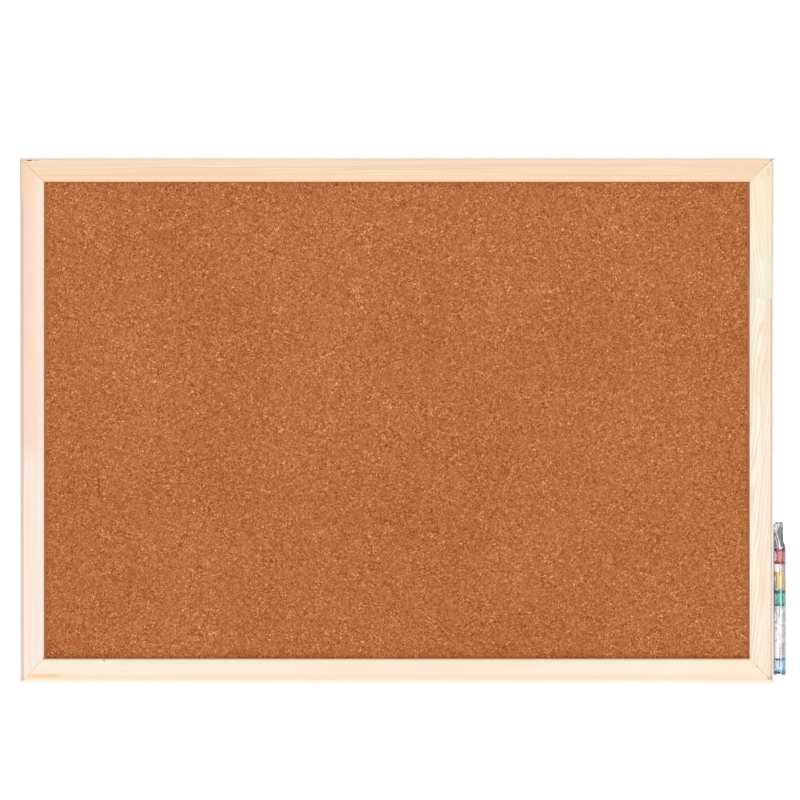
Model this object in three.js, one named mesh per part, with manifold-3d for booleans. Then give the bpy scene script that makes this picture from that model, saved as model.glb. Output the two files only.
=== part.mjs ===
// Cork board: a mitred pine frame grooved round a cork panel, with a ring hanger behind each
// stile and a film sleeve of push pins taped to the right edge.
// Millimetres. X runs to the right, Y runs back into the wall, Z runs up.
// The origin is in the middle of the top rail's back face, which lies against the wall.

import * as THREE from 'three';
import { mergeVertices } from 'three/addons/utils/BufferGeometryUtils.js';
import Module from 'manifold-3d';

const wasm = await Module();
wasm.setup();

// Board
const boardWidth = 600;
const boardHeight = 418;

// Section of the frame bars
const faceWidth = 19;
const frameDepth = 15;
const frontLip = 3;
const backLip = 2.5;
const grooveDepth = 5;
const outerArris = 1.2;
const innerArris = 0.8;
const backChamfer = 0.5;
const arrisSteps = 4;
const mitreGap = 0.2;

// Finger joint between the two staves of the right stile; the drop is to its line on the faces
const fingerJointDrop = 112;
const fingerLength = 10;
const fingerCount = 4;
const fingerTipShare = 0.12;
const fingerGlue = 0.3;

// Panel of three glued sheets held in the groove
const corkThickness = 1.5;
const backingThickness = 1.5;
const glueLine = 0.1;
const panelPlay = 0.15;
const panelEdgePlay = 0.5;

// V-nails driven into the mitres from behind, two to a corner
const vNailLeg = 6;
const vNailThickness = 0.7;
const vNailHeight = 8;
const vNailSink = 0.2;
const vNailClearance = 0.15;
const vNailInsetShares = [0.24, 0.53];

// Ring hangers on the backs of the stiles
const hangerDrop = 60;
const strapWidth = 9;
const strapThickness = 0.8;
const strapSeat = 0.1;
const strapFoldGap = 0.1;
const strapTurn = THREE.MathUtils.degToRad(135);
const strapTurnSteps = 10;
const loopClearance = 0.3;
const ringWire = 1.8;
const ringInnerWidth = 11.5;
const ringStraight = 6.5;
const ringCorner = 1.6;
const ringBendSteps = 14;
const ringCornerSteps = 3;
const wireSides = 8;

// Hanger screws
const screwDrop = 7;
const screwLength = 10;
const screwRadius = 1.5;
const screwPoint = 3;
const screwHeadRadius = 2.75;
const screwHeadHeight = 1.6;
const screwHeadSeat = 0.1;
const screwHeadShares = [[1, 0], [1, 0.45], [0.72, 1]];
const screwHoleClearance = 0.2;
const recessLength = 3.2;
const recessWidth = 0.6;
const recessDepth = 0.9;
const roundSides = 20;

// Push pins
const gripHeight = 12.8;
const headRadius = 4.3;
const headHeight = 2.4;
const collarRadius = 4.1;
const collarHeight = 2.1;
const barrelRadius = 2.4;
const collarShares = [[0.8, 0], [1, 0.25], [1, 0.7], [0.86, 1]];
const barrelShares = [[1.15, 0.08], [1, 0.25], [1, 0.68], [1.2, 0.88]];
const headShares = [[0.88, 0], [1, 0.25], [1, 0.8], [0.93, 1]];
const needleRadius = 0.5;
const needleExposed = 10;
const needlePoint = 2.5;
const needleSocket = 8;
const needleClearance = 0.1;
const needleSides = 10;

// Sleeve of clear film
const film = 0.3;
const pinClearance = 0.3;
const sleeveInnerHalfWidth = 5.05;
const sleeveSquareness = 2.6;
const sleeveSides = 24;
const sleeveRings = 6;
const sleeveLift = 6;
const gatherHeight = 20.8;
const gatherRings = 6;
const gatherHalfWidth = 4.4;
const gatherHalfDepth = 2.2;
const gatherFoldShare = 0.09;
const gatherFolds = 5;
const sleeveStandoff = 0.2;

// Places of the pins in the sleeve, from the top down
const pinSpacing = 1.7;
const looseSpace = 6.2;
const needleSpace = 12.5;
const pinRun = [
  { name: 'red', color: 0xc8324e, gapAbove: 0, row: -1, needleUp: false },
  { name: 'yellow', color: 0xf4d23c, gapAbove: looseSpace, row: 1, needleUp: false },
  { name: 'green', color: 0x3d9c86, gapAbove: pinSpacing, row: -1, needleUp: false },
  { name: 'white', color: 0xf4f1f4, gapAbove: pinSpacing, row: 1, needleUp: false },
  { name: 'clear', color: 0xe6dff0, gapAbove: pinSpacing, row: -1, needleUp: false },
  { name: 'blue', color: 0x2d5f9e, gapAbove: needleSpace, row: 1, needleUp: true },
];

// Tape that hinges the sleeve to the back of the stile
const tapeWidth = 26;
const tapeBelowMouth = 60;
const tapeThickness = 0.2;
const tapeSeat = 0.1;
const tapeOnFrame = 14;
const tapeOnSleeve = 9;
const tapeFold = 0.6;

// How far a cutting tool runs past the face that it cuts
const overrun = 1;

// Sizes that follow from the ones above
const grooveWidth = frameDepth - frontLip - backLip;
const panelWidth = boardWidth - 2 * (faceWidth - grooveDepth + panelEdgePlay);
const panelHeight = boardHeight - 2 * (faceWidth - grooveDepth + panelEdgePlay);
const sheetStack = grooveWidth - 2 * panelPlay;
const coreThickness = sheetStack - corkThickness - backingThickness - 2 * glueLine;
const stileCentre = boardWidth / 2 - faceWidth / 2;
const loopRadius = ringWire / 2 + loopClearance;
const ringAxisBack = strapSeat + strapThickness + loopRadius;
const upperLayer = strapSeat + strapThickness * 1.5 + strapFoldGap;
const screwHeadBack = upperLayer + strapThickness / 2 + screwHeadSeat;
const ringHalfWidth = ringInnerWidth / 2 + ringWire / 2;
const rowOffset = (headRadius + needleRadius) / 2 + needleClearance;
const sleeveHalfWidth = sleeveInnerHalfWidth + film;
const sleeveHalfDepth = rowOffset + headRadius + pinClearance + film;
const pinSpan = pinRun.reduce((sum, pin) => sum + pin.gapAbove + gripHeight, 0);
const sleeveLength = gatherHeight + pinSpan + pinClearance + film;
const sleeveMouth = sleeveLift + sleeveLength - boardHeight;

// Materials
function finish(color, roughness, metalness = 0) {
  return new THREE.MeshStandardMaterial({ color, roughness, metalness });
}

const pine = finish(0xfbe3d0, 0.55);
const cork = finish(0xb97040, 0.9);
const softboard = finish(0xa58a64, 0.95);
const hardboard = finish(0x8a6440, 0.7);
const steel = finish(0xc9ccd0, 0.35, 1);
const clearFilm = finish(0xdfe2ea, 0.2);

// Corners of an arc, both ends included
function arc(centreX, centreY, radius, from, to, steps) {
  return Array.from({ length: steps + 1 }, (_, i) => {
    const angle = from + ((to - from) * i) / steps;
    return new THREE.Vector2(
      centreX + radius * Math.cos(angle),
      centreY + radius * Math.sin(angle),
    );
  });
}

// One closed skin: shared corners merged, and triangles with no area dropped
function weld(geometry) {
  const bare = geometry.clone();
  bare.deleteAttribute('normal');
  bare.deleteAttribute('uv');
  const merged = mergeVertices(bare);
  const corners = merged.index.array;
  const kept = [];
  for (let i = 0; i < corners.length; i += 3) {
    const [a, b, c] = corners.slice(i, i + 3);
    if (a !== b && b !== c && c !== a) kept.push(a, b, c);
  }
  merged.setIndex(kept);
  return merged;
}

function solidOf(geometry) {
  const skin = weld(geometry);
  return new wasm.Manifold(new wasm.Mesh({
    numProp: 3,
    vertProperties: new Float32Array(skin.attributes.position.array),
    triVerts: new Uint32Array(skin.index.array),
  }));
}

function geometryOf(solid) {
  const mesh = solid.getMesh();
  const geometry = new THREE.BufferGeometry();
  geometry.setAttribute('position', new THREE.BufferAttribute(mesh.vertProperties, 3));
  geometry.setIndex(new THREE.BufferAttribute(mesh.triVerts, 1));
  return geometry;
}

function cutFrom(geometry, cutters) {
  const cut = cutters.reduce((rest, cutter) => rest.subtract(solidOf(cutter)), solidOf(geometry));
  return geometryOf(cut);
}

function piece(name, geometry, material) {
  const mesh = new THREE.Mesh(weld(geometry), material);
  mesh.name = name;
  return mesh;
}

// A plate with its outline in the XZ plane, from the back face at Y 0 forward by its thickness
function plate(outline, thickness) {
  const shape = new THREE.Shape(outline);
  const geometry = new THREE.ExtrudeGeometry(shape, { depth: thickness, bevelEnabled: false });
  return geometry.rotateX(Math.PI / 2);
}

// Profile corners from shares of a radius and of a height that starts at a foot
function fromShares(shares, radius, foot, height) {
  return shares.map(([r, h]) => [r * radius, foot + h * height]);
}

// A turned solid about the Y axis, from a profile of [radius, height] pairs
function turned(profile, sides) {
  return new THREE.LatheGeometry(profile.map(([r, h]) => new THREE.Vector2(r, h)), sides);
}

// Frame bars
// A section point is [inward from the outer edge, forward from the back face].
function barSection() {
  const inner = faceWidth;
  const grooveFront = backLip + grooveWidth;
  return [
    new THREE.Vector2(backChamfer, 0),
    new THREE.Vector2(inner - backChamfer, 0),
    new THREE.Vector2(inner, backChamfer),
    new THREE.Vector2(inner, backLip),
    new THREE.Vector2(inner - grooveDepth, backLip),
    new THREE.Vector2(inner - grooveDepth, grooveFront),
    new THREE.Vector2(inner, grooveFront),
    ...arc(inner - innerArris, frameDepth - innerArris, innerArris, 0, Math.PI / 2, arrisSteps),
    ...arc(outerArris, frameDepth - outerArris, outerArris, Math.PI / 2, Math.PI, arrisSteps),
    new THREE.Vector2(0, backChamfer),
  ];
}

// A bar along X with its outer edge at Z 0, its back at Y 0 and both ends mitred
function mitredBar(length) {
  const shape = new THREE.Shape(barSection());
  const geometry = new THREE.ExtrudeGeometry(shape, { depth: 1, bevelEnabled: false });
  const points = geometry.attributes.position;
  const setback = mitreGap / Math.SQRT2;
  for (let i = 0; i < points.count; i += 1) {
    const inward = points.getX(i);
    const forward = points.getY(i);
    const end = points.getZ(i) > 0 ? -1 : 1;
    points.setXYZ(i, end * (length / 2 - inward - setback), -forward, -inward);
  }
  return geometry;
}

// The bent outline of a V-nail, its bend at the origin, grown all round for its slot
function vNailOutline(grow) {
  const half = vNailThickness / 2 + grow;
  const leg = vNailLeg + grow;
  return [
    new THREE.Vector2(-half, half),
    new THREE.Vector2(-half, -leg),
    new THREE.Vector2(half, -leg),
    new THREE.Vector2(half, -half),
    new THREE.Vector2(leg, -half),
    new THREE.Vector2(leg, half),
  ];
}

function vNailSlots(length) {
  const depth = vNailSink + vNailHeight + vNailClearance;
  return vNailInsetShares.flatMap((share) => {
    const inset = share * faceWidth;
    return [-1, 1].map((side) => {
      const slot = plate(vNailOutline(vNailClearance), depth + overrun);
      slot.translate(0, overrun, 0);
      if (side > 0) slot.rotateY(Math.PI / 2);
      return slot.translate(side * (length / 2 - inset), 0, -inset);
    });
  });
}

// A pilot hole in the middle of a bar's back, at a place along the bar
function pilotHole(along) {
  const depth = screwLength - screwHeadBack + screwHoleClearance;
  const radius = screwRadius + screwHoleClearance;
  const hole = new THREE.CylinderGeometry(radius, radius, depth + overrun, roundSides);
  return hole.translate(along, (overrun - depth) / 2, -faceWidth / 2);
}

function frameBar(length, holes = []) {
  return cutFrom(mitredBar(length), [...vNailSlots(length), ...holes.map(pilotHole)]);
}

// Everything of a stile on the upper side of its finger joint
function upperStaveSpace(joint) {
  const pitch = frameDepth / fingerCount;
  const tip = pitch * fingerTipShare;
  const edge = [];
  for (let i = -1; i <= fingerCount; i += 1) {
    const valley = i * pitch;
    const peak = valley + pitch / 2;
    edge.push(new THREE.Vector2(joint - fingerLength / 2, -(valley - tip / 2)));
    edge.push(new THREE.Vector2(joint - fingerLength / 2, -(valley + tip / 2)));
    edge.push(new THREE.Vector2(joint + fingerLength / 2, -(peak - tip / 2)));
    edge.push(new THREE.Vector2(joint + fingerLength / 2, -(peak + tip / 2)));
  }
  edge.push(new THREE.Vector2(-boardHeight, edge.at(-1).y));
  edge.push(new THREE.Vector2(-boardHeight, edge[0].y));
  const depth = faceWidth + 2 * overrun;
  const settings = { depth, bevelEnabled: false };
  const space = new THREE.ExtrudeGeometry(new THREE.Shape(edge), settings);
  return space.translate(0, 0, overrun - depth);
}

function rightStaves() {
  const hangerHole = -(boardHeight / 2 - hangerDrop - screwDrop);
  const stile = solidOf(frameBar(boardHeight, [hangerHole]));
  const joint = fingerJointDrop + fingerLength / 2 - boardHeight / 2;
  const upper = stile.intersect(solidOf(upperStaveSpace(joint - fingerGlue / 2)));
  const lower = stile.subtract(solidOf(upperStaveSpace(joint + fingerGlue / 2)));
  return [geometryOf(upper), geometryOf(lower)];
}

// A group on one side of the board, turned about Y so that its own top faces outward
function sideGroup(quarterTurns, x, z) {
  const group = new THREE.Group();
  group.rotation.y = (quarterTurns * Math.PI) / 2;
  group.position.set(x, 0, z);
  return group;
}

function frame() {
  const [upperStave, lowerStave] = rightStaves();
  const leftHole = boardHeight / 2 - hangerDrop - screwDrop;
  const top = sideGroup(0, 0, 0);
  const right = sideGroup(1, boardWidth / 2, -boardHeight / 2);
  const bottom = sideGroup(2, 0, -boardHeight);
  const left = sideGroup(3, -boardWidth / 2, -boardHeight / 2);
  top.add(piece('frame_rail_top', frameBar(boardWidth), pine));
  right.add(piece('frame_stile_right_upper_stave', upperStave, pine));
  right.add(piece('frame_stile_right_lower_stave', lowerStave, pine));
  bottom.add(piece('frame_rail_bottom', frameBar(boardWidth), pine));
  left.add(piece('frame_stile_left', frameBar(boardHeight, [leftHole]), pine));
  return [top, right, bottom, left];
}

function vNails() {
  const corners = [
    { name: 'top_left', turns: 0, x: -boardWidth / 2, z: 0 },
    { name: 'top_right', turns: 1, x: boardWidth / 2, z: 0 },
    { name: 'bottom_right', turns: 2, x: boardWidth / 2, z: -boardHeight },
    { name: 'bottom_left', turns: 3, x: -boardWidth / 2, z: -boardHeight },
  ];
  return corners.map((corner) => {
    const group = sideGroup(corner.turns, corner.x, corner.z);
    vNailInsetShares.forEach((share, i) => {
      const inset = share * faceWidth;
      const place = i === 0 ? 'outer' : 'inner';
      const nail = piece(`v_nail_${corner.name}_${place}`, plate(vNailOutline(0), vNailHeight), steel);
      nail.position.set(inset, -vNailSink, -inset);
      group.add(nail);
    });
    return group;
  });
}

// Panel
function sheet(name, back, thickness, material) {
  const mesh = piece(name, new THREE.BoxGeometry(panelWidth, thickness, panelHeight), material);
  mesh.position.set(0, -back - thickness / 2, -boardHeight / 2);
  return mesh;
}

function panel() {
  const backingBack = backLip + panelPlay;
  const coreBack = backingBack + backingThickness + glueLine;
  const corkBack = coreBack + coreThickness + glueLine;
  return [
    sheet('backing_sheet', backingBack, backingThickness, hardboard),
    sheet('softboard_core', coreBack, coreThickness, softboard),
    sheet('cork_sheet', corkBack, corkThickness, cork),
  ];
}

// Ring hangers
// The middle line of the folded strap, seen from the side, as [up, back] from the ring's axis.
function strapMiddle() {
  const bend = loopRadius + strapThickness / 2;
  const lowerLayer = strapSeat + strapThickness / 2;
  const end = -(screwDrop + strapWidth / 2);
  const turn = arc(0, ringAxisBack, bend, -Math.PI / 2, strapTurn, strapTurnSteps);
  const leaving = turn.at(-1);
  const run = (leaving.y - upperLayer) * -Math.tan(strapTurn);
  return [
    new THREE.Vector2(end, lowerLayer),
    ...turn,
    new THREE.Vector2(leaving.x - run, upperLayer),
    new THREE.Vector2(end, upperLayer),
  ];
}

// Both sides of a strip of the strap's thickness along its middle line
function stripOutline(middle, thickness) {
  const sides = [-1, 1].map((side) => middle.map((point, i) => {
    const before = point.clone().sub(middle[Math.max(i - 1, 0)]).normalize();
    const after = middle[Math.min(i + 1, middle.length - 1)].clone().sub(point).normalize();
    const along = before.clone().add(after).normalize();
    const reference = before.lengthSq() > 0 ? before : after;
    const stretch = 1 / along.dot(reference);
    const across = new THREE.Vector2(-along.y, along.x);
    return point.clone().addScaledVector(across, (side * stretch * thickness) / 2);
  }));
  return [...sides[0], ...sides[1].reverse()];
}

function hangerStrap() {
  const shape = new THREE.Shape(stripOutline(strapMiddle(), strapThickness));
  const strip = new THREE.ExtrudeGeometry(shape, { depth: strapWidth, bevelEnabled: false });
  strip.rotateY(-Math.PI / 2).translate(strapWidth / 2, 0, 0);
  const top = loopRadius + strapThickness + overrun;
  const plan = [
    ...arc(0, -screwDrop, strapWidth / 2, Math.PI, 2 * Math.PI, roundSides / 2),
    new THREE.Vector2(strapWidth / 2, top),
    new THREE.Vector2(-strapWidth / 2, top),
  ];
  const height = ringAxisBack + loopRadius + strapThickness + 2 * overrun;
  const planSpace = plate(plan, height).translate(0, height - overrun, 0);
  const rounded = solidOf(strip).intersect(solidOf(planSpace));
  const radius = screwRadius + screwHoleClearance;
  const hole = new THREE.CylinderGeometry(radius, radius, height, roundSides);
  hole.translate(0, height / 2 - overrun, -screwDrop);
  return geometryOf(rounded.subtract(solidOf(hole)));
}

// The middle line of the ring's wire, hanging down from its straight bar at Z 0
function ringMiddle() {
  const half = ringHalfWidth;
  const corner = ringCorner;
  return [
    ...arc(half - corner, -corner, corner, Math.PI / 2, 0, ringCornerSteps),
    ...arc(0, -ringStraight, half, 0, -Math.PI, ringBendSteps),
    ...arc(-(half - corner), -corner, corner, Math.PI, Math.PI / 2, ringCornerSteps),
  ];
}

// A closed loop of round wire in the XZ plane
function wireLoop(middle, wire, sides) {
  const count = middle.length;
  const vertices = [];
  middle.forEach((point, i) => {
    const before = middle[(i + count - 1) % count];
    const after = middle[(i + 1) % count];
    const along = after.clone().sub(before).normalize();
    for (let k = 0; k < sides; k += 1) {
      const angle = (2 * Math.PI * k) / sides;
      const out = (wire / 2) * Math.cos(angle);
      const back = (wire / 2) * Math.sin(angle);
      vertices.push(point.x - along.y * out, back, point.y + along.x * out);
    }
  });
  const corners = [];
  for (let i = 0; i < count; i += 1) {
    for (let k = 0; k < sides; k += 1) {
      const next = (i + 1) % count;
      const turn = (k + 1) % sides;
      const [a, b] = [i * sides + k, next * sides + k];
      const [c, d] = [next * sides + turn, i * sides + turn];
      corners.push(a, b, c, a, c, d);
    }
  }
  const geometry = new THREE.BufferGeometry();
  geometry.setAttribute('position', new THREE.Float32BufferAttribute(vertices, 3));
  geometry.setIndex(corners);
  return geometry;
}

function hangerScrew() {
  const screw = turned([
    [0, -screwLength],
    [screwRadius, screwPoint - screwLength],
    [screwRadius, 0],
    ...fromShares(screwHeadShares, screwHeadRadius, 0, screwHeadHeight),
    [0, screwHeadHeight],
  ], roundSides);
  const recess = [[recessLength, recessWidth], [recessWidth, recessLength]].map(([x, z]) => {
    const slot = new THREE.BoxGeometry(x, recessDepth + overrun, z);
    return slot.translate(0, screwHeadHeight - recessDepth + (recessDepth + overrun) / 2, 0);
  });
  return cutFrom(screw, recess);
}

function hanger(side, x) {
  const group = new THREE.Group();
  group.position.set(x, 0, -hangerDrop);
  const ring = piece(`hanger_ring_${side}`, wireLoop(ringMiddle(), ringWire, wireSides), steel);
  ring.position.set(0, ringAxisBack, 0);
  const screw = piece(`hanger_screw_${side}`, hangerScrew(), steel);
  screw.position.set(0, screwHeadBack, -screwDrop);
  group.add(piece(`hanger_strap_${side}`, hangerStrap(), steel), ring, screw);
  return group;
}

// Push pins
// Heights on a pin run from the foot of its collar, where the needle leaves, to the top of its head.
function pinGrip() {
  const socket = needleRadius + needleClearance;
  const headFoot = gripHeight - headHeight;
  const grip = turned([
    [0, needleSocket],
    [socket, needleSocket],
    [socket, 0],
    ...fromShares(collarShares, collarRadius, 0, collarHeight),
    ...fromShares(barrelShares, barrelRadius, collarHeight, headFoot - collarHeight),
    ...fromShares(headShares, headRadius, headFoot, headHeight),
    [0, gripHeight],
  ], roundSides);
  return grip.rotateX(Math.PI / 2);
}

function pinNeedle() {
  const needle = turned([
    [0, -needleExposed],
    [needleRadius, needlePoint - needleExposed],
    [needleRadius, needleSocket - needleClearance],
    [0, needleSocket - needleClearance],
  ], needleSides);
  return needle.rotateX(Math.PI / 2);
}

function pushPins() {
  const pins = [];
  let top = -gatherHeight;
  pinRun.forEach((pin) => {
    top -= pin.gapAbove;
    const group = new THREE.Group();
    const bottom = top - gripHeight;
    group.position.set(0, pin.row * rowOffset, pin.needleUp ? top : bottom);
    if (pin.needleUp) group.rotation.x = Math.PI;
    group.add(piece(`push_pin_grip_${pin.name}`, pinGrip(), finish(pin.color, 0.3)));
    group.add(piece(`push_pin_needle_${pin.name}`, pinNeedle(), steel));
    pins.push(group);
    top = bottom;
  });
  return pins;
}

// Sleeve
// One ring round the sleeve: a squared oval, drawn into folds where the film is gathered
function sleeveRing(height, halfWidth, halfDepth, gathered) {
  return Array.from({ length: sleeveSides }, (_, i) => {
    const angle = (2 * Math.PI * i) / sleeveSides;
    const [c, s] = [Math.cos(angle), Math.sin(angle)];
    const power = 2 / sleeveSquareness;
    const fold = 1 - gathered * gatherFoldShare * (1 - Math.cos(gatherFolds * angle));
    return [
      fold * halfWidth * Math.sign(c) * Math.abs(c) ** power,
      fold * halfDepth * Math.sign(s) * Math.abs(s) ** power,
      height,
    ];
  });
}

// Rings of one skin of the sleeve from its bottom to its mouth, a distance inside the outer skin
function sleeveSkin(inset) {
  const halfWidth = sleeveHalfWidth - inset;
  const halfDepth = sleeveHalfDepth - inset;
  const foot = inset - sleeveLength;
  const rings = [];
  for (let i = 0; i < sleeveRings; i += 1) {
    const height = THREE.MathUtils.lerp(foot, -gatherHeight, i / sleeveRings);
    rings.push(sleeveRing(height, halfWidth, halfDepth, 0));
  }
  for (let i = 0; i <= gatherRings; i += 1) {
    const rise = i / gatherRings;
    const drawn = THREE.MathUtils.smoothstep(rise, 0, 1);
    rings.push(sleeveRing(
      -gatherHeight * (1 - rise),
      THREE.MathUtils.lerp(halfWidth, gatherHalfWidth - inset, drawn),
      THREE.MathUtils.lerp(halfDepth, gatherHalfDepth - inset, drawn),
      drawn,
    ));
  }
  return rings;
}

// A skin through a row of rings, closed by a flat cap at each end of the row
function loft(rings) {
  const sides = rings[0].length;
  const last = (rings.length - 1) * sides;
  const foot = rings.length * sides;
  const corners = [];
  for (let k = 0; k < sides; k += 1) {
    const turn = (k + 1) % sides;
    for (let start = 0; start < last; start += sides) {
      const [a, b] = [start + k, start + turn];
      corners.push(a, b, b + sides, a, b + sides, a + sides);
    }
    corners.push(foot, turn, k, foot + 1, last + k, last + turn);
  }
  const centres = [rings[0], rings.at(-1)].map((ring) => [0, 0, ring[0][2]]);
  const geometry = new THREE.BufferGeometry();
  const points = [...rings.flat(2), ...centres.flat()];
  geometry.setAttribute('position', new THREE.Float32BufferAttribute(points, 3));
  geometry.setIndex(corners);
  return geometry;
}

function pinPack() {
  const group = new THREE.Group();
  const x = boardWidth / 2 + sleeveStandoff + sleeveHalfWidth;
  group.position.set(x, -frameDepth / 2, sleeveMouth);
  const skins = [...sleeveSkin(0), ...sleeveSkin(film).reverse()];
  group.add(piece('pin_sleeve', loft(skins), clearFilm), ...pushPins());
  return group;
}

// Tape
// A strip of tape behind the right edge, from one distance right of the edge to another
function tapeStrip(name, from, to) {
  const mesh = piece(name, new THREE.BoxGeometry(to - from, tapeThickness, tapeWidth), clearFilm);
  const x = boardWidth / 2 + (from + to) / 2;
  mesh.position.set(x, tapeSeat + tapeThickness / 2, sleeveMouth - tapeBelowMouth);
  return mesh;
}

const board = new THREE.Group();
board.position.z = faceWidth / 2;
board.add(
  ...frame(),
  ...vNails(),
  ...panel(),
  hanger('left', -stileCentre),
  hanger('right', stileCentre),
  pinPack(),
  tapeStrip('tape_on_stile', -tapeOnFrame, -tapeFold),
  tapeStrip('tape_on_sleeve', tapeFold / 2, tapeOnSleeve),
);

export default board;
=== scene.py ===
# %% [markdown]
# # A cork board, dressed in Blender
#
# The real object is a mitred pine frame round a panel faced with cork. Behind it are two
# ring hangers, and a sleeve of push pins is taped beside its right stile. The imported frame
# has every piece in its place and every joint, so this lesson gives the pieces their looks,
# and makes the small ones again in more detail. Everything is in metres, in the frame's own
# axes: X to the right, Y back into the wall, Z up.

import math

import bmesh
import bpy
from mathutils import Matrix, Vector, noise


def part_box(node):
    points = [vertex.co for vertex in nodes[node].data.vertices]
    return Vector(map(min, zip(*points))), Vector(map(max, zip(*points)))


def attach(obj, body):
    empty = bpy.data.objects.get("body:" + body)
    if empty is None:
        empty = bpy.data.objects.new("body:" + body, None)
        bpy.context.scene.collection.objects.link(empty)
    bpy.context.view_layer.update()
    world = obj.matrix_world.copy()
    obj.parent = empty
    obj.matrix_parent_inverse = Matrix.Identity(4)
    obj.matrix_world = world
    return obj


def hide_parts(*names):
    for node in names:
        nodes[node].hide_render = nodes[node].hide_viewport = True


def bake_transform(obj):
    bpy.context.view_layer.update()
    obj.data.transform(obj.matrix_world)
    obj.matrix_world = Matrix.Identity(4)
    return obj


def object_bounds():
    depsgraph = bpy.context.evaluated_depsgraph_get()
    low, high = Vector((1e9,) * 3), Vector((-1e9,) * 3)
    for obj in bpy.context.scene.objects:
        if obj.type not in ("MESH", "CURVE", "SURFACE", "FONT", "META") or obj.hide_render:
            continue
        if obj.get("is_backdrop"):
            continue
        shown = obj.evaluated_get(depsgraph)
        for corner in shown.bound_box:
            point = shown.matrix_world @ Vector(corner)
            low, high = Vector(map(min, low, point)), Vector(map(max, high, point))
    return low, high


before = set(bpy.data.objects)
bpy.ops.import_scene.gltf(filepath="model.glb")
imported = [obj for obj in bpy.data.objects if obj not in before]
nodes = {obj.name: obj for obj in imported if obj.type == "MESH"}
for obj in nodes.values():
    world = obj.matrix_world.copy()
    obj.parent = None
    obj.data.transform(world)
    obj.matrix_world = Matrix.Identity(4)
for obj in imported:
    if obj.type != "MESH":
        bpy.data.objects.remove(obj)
cad_box = [list(corner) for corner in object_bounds()]

# %% [markdown]
# ## Camera
#
# The picture to match was taken square on and from far away: no side of the frame shows,
# and opposite bars look the same width. So the camera stands well back, and its lens is
# worked out from how many millimetres the picture takes in.

# %% Set the camera square on
MM = 0.001
PICTURE_SIDE = 800
PIXELS_PER_MM = 1.2575
AIM = Vector((2.6, -15, -183.3)) * MM
CAMERA_DISTANCE = 2.4

scene = bpy.context.scene
camera = bpy.data.objects.new("camera", bpy.data.cameras.new("camera"))
scene.collection.objects.link(camera)
camera.location = AIM - Vector((0, CAMERA_DISTANCE, 0))
camera.rotation_euler = (math.pi / 2, 0, 0)
picture_width = PICTURE_SIDE / PIXELS_PER_MM * MM
camera.data.lens = camera.data.sensor_width * CAMERA_DISTANCE / picture_width
scene.camera = camera
scene.view_settings.view_transform = "Standard"
print(f"the picture takes in {picture_width:.3f} m through a {camera.data.lens:.0f} mm lens")

# %% [markdown]
# ## Sums on sockets
#
# A procedural finish is mostly arithmetic. Built by hand it is a wall of Math nodes, so a
# small class wraps an output socket and lets Python's own signs add those nodes. Any other
# node comes from its `node` method, which fills in the node's settings before its sockets,
# because they can change which sockets it has.

# %% The wrapped socket
class Wire:
    """An output socket that takes part in Python sums."""

    def __init__(self, tree, socket=None):
        self.tree, self.socket = tree, socket

    def node(self, kind, settings=None, inputs=None, output=0):
        made = self.tree.nodes.new(kind)
        for name, value in (settings or {}).items():
            if name == "stops":
                set_stops(made.color_ramp, value)
            else:
                setattr(made, name, value)
        for key, value in (inputs or {}).items():
            if isinstance(value, Wire):
                self.tree.links.new(value.socket, made.inputs[key])
            else:
                made.inputs[key].default_value = value
        return Wire(self.tree, made.outputs[output])

    def math(self, operation, *others, kind="ShaderNodeMath", output=0):
        return self.node(kind, {"operation": operation}, dict(enumerate((self, *others))), output)

    def vector(self, operation, *others, output=0):
        return self.math(operation, *others, kind="ShaderNodeVectorMath", output=output)

    def __add__(self, other):
        return self.math("ADD", other)

    def __sub__(self, other):
        return self.math("SUBTRACT", other)

    def __rsub__(self, other):
        return self.node("ShaderNodeMath", {"operation": "SUBTRACT"}, {0: other, 1: self})

    def __mul__(self, other):
        return self.math("MULTIPLY", other)

    def __truediv__(self, other):
        return self.math("DIVIDE", other)

    __radd__ = __add__
    __rmul__ = __mul__


def set_stops(ramp, stops):
    """Gives a colour ramp these (position, colour) stops."""
    while len(ramp.elements) < len(stops):
        ramp.elements.new(0.5)
    for element, (position, colour) in zip(ramp.elements, stops):
        element.position, element.color = position, colour


# %% [markdown]
# A few words that the finishes share. `step` goes from 0 at one value to 1 at another, with
# an eased slope between. `mix` goes between two colours. `stretch` scales the place on
# the surface before a texture reads it, which is how a round noise becomes a long fibre.

# %% Shared words for finishes
def step(value, low, high):
    span = {"Value": value, "From Min": low, "From Max": high}
    return value.node("ShaderNodeMapRange", {"interpolation_type": "SMOOTHSTEP"}, span)


def mix(factor, first, second):
    kind = {"data_type": "RGBA", "clamp_factor": True}
    return factor.node("ShaderNodeMix", kind, {0: factor, 6: first, 7: second}, 2)


def largest(first, *others):
    for other in others:
        first = first.math("MAXIMUM", other)
    return first


def hypotenuse(a, b):
    return (a * a + b * b).math("SQRT")


def stretch(place, scale):
    return place.vector("MULTIPLY", scale)


def grain(place, scale=1.0, detail=2.0, rough=0.5):
    sockets = {"Vector": place, "Scale": scale, "Detail": detail, "Roughness": rough}
    return place.node("ShaderNodeTexNoise", None, sockets)


def cells(place, scale, feature="F1", output="Distance"):
    sockets = {"Vector": place, "Scale": scale}
    return place.node("ShaderNodeTexVoronoi", {"feature": feature}, sockets, output)


def axes(place):
    return [place.node("ShaderNodeSeparateXYZ", None, {0: place}, i) for i in range(3)]


def bump(height, distance, strength):
    sockets = {"Height": height, "Distance": distance, "Strength": strength}
    return height.node("ShaderNodeBump", None, sockets, "Normal")


# %% [markdown]
# Colours of cork and wood are given as they should look in the picture, from 0 to 255. The
# light on the front of the board is brighter than 1, so a finish's own colour is the
# picture's, made linear and divided by the light.

# %% Colours and materials
FRONT_LIGHT = 1.26


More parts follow.
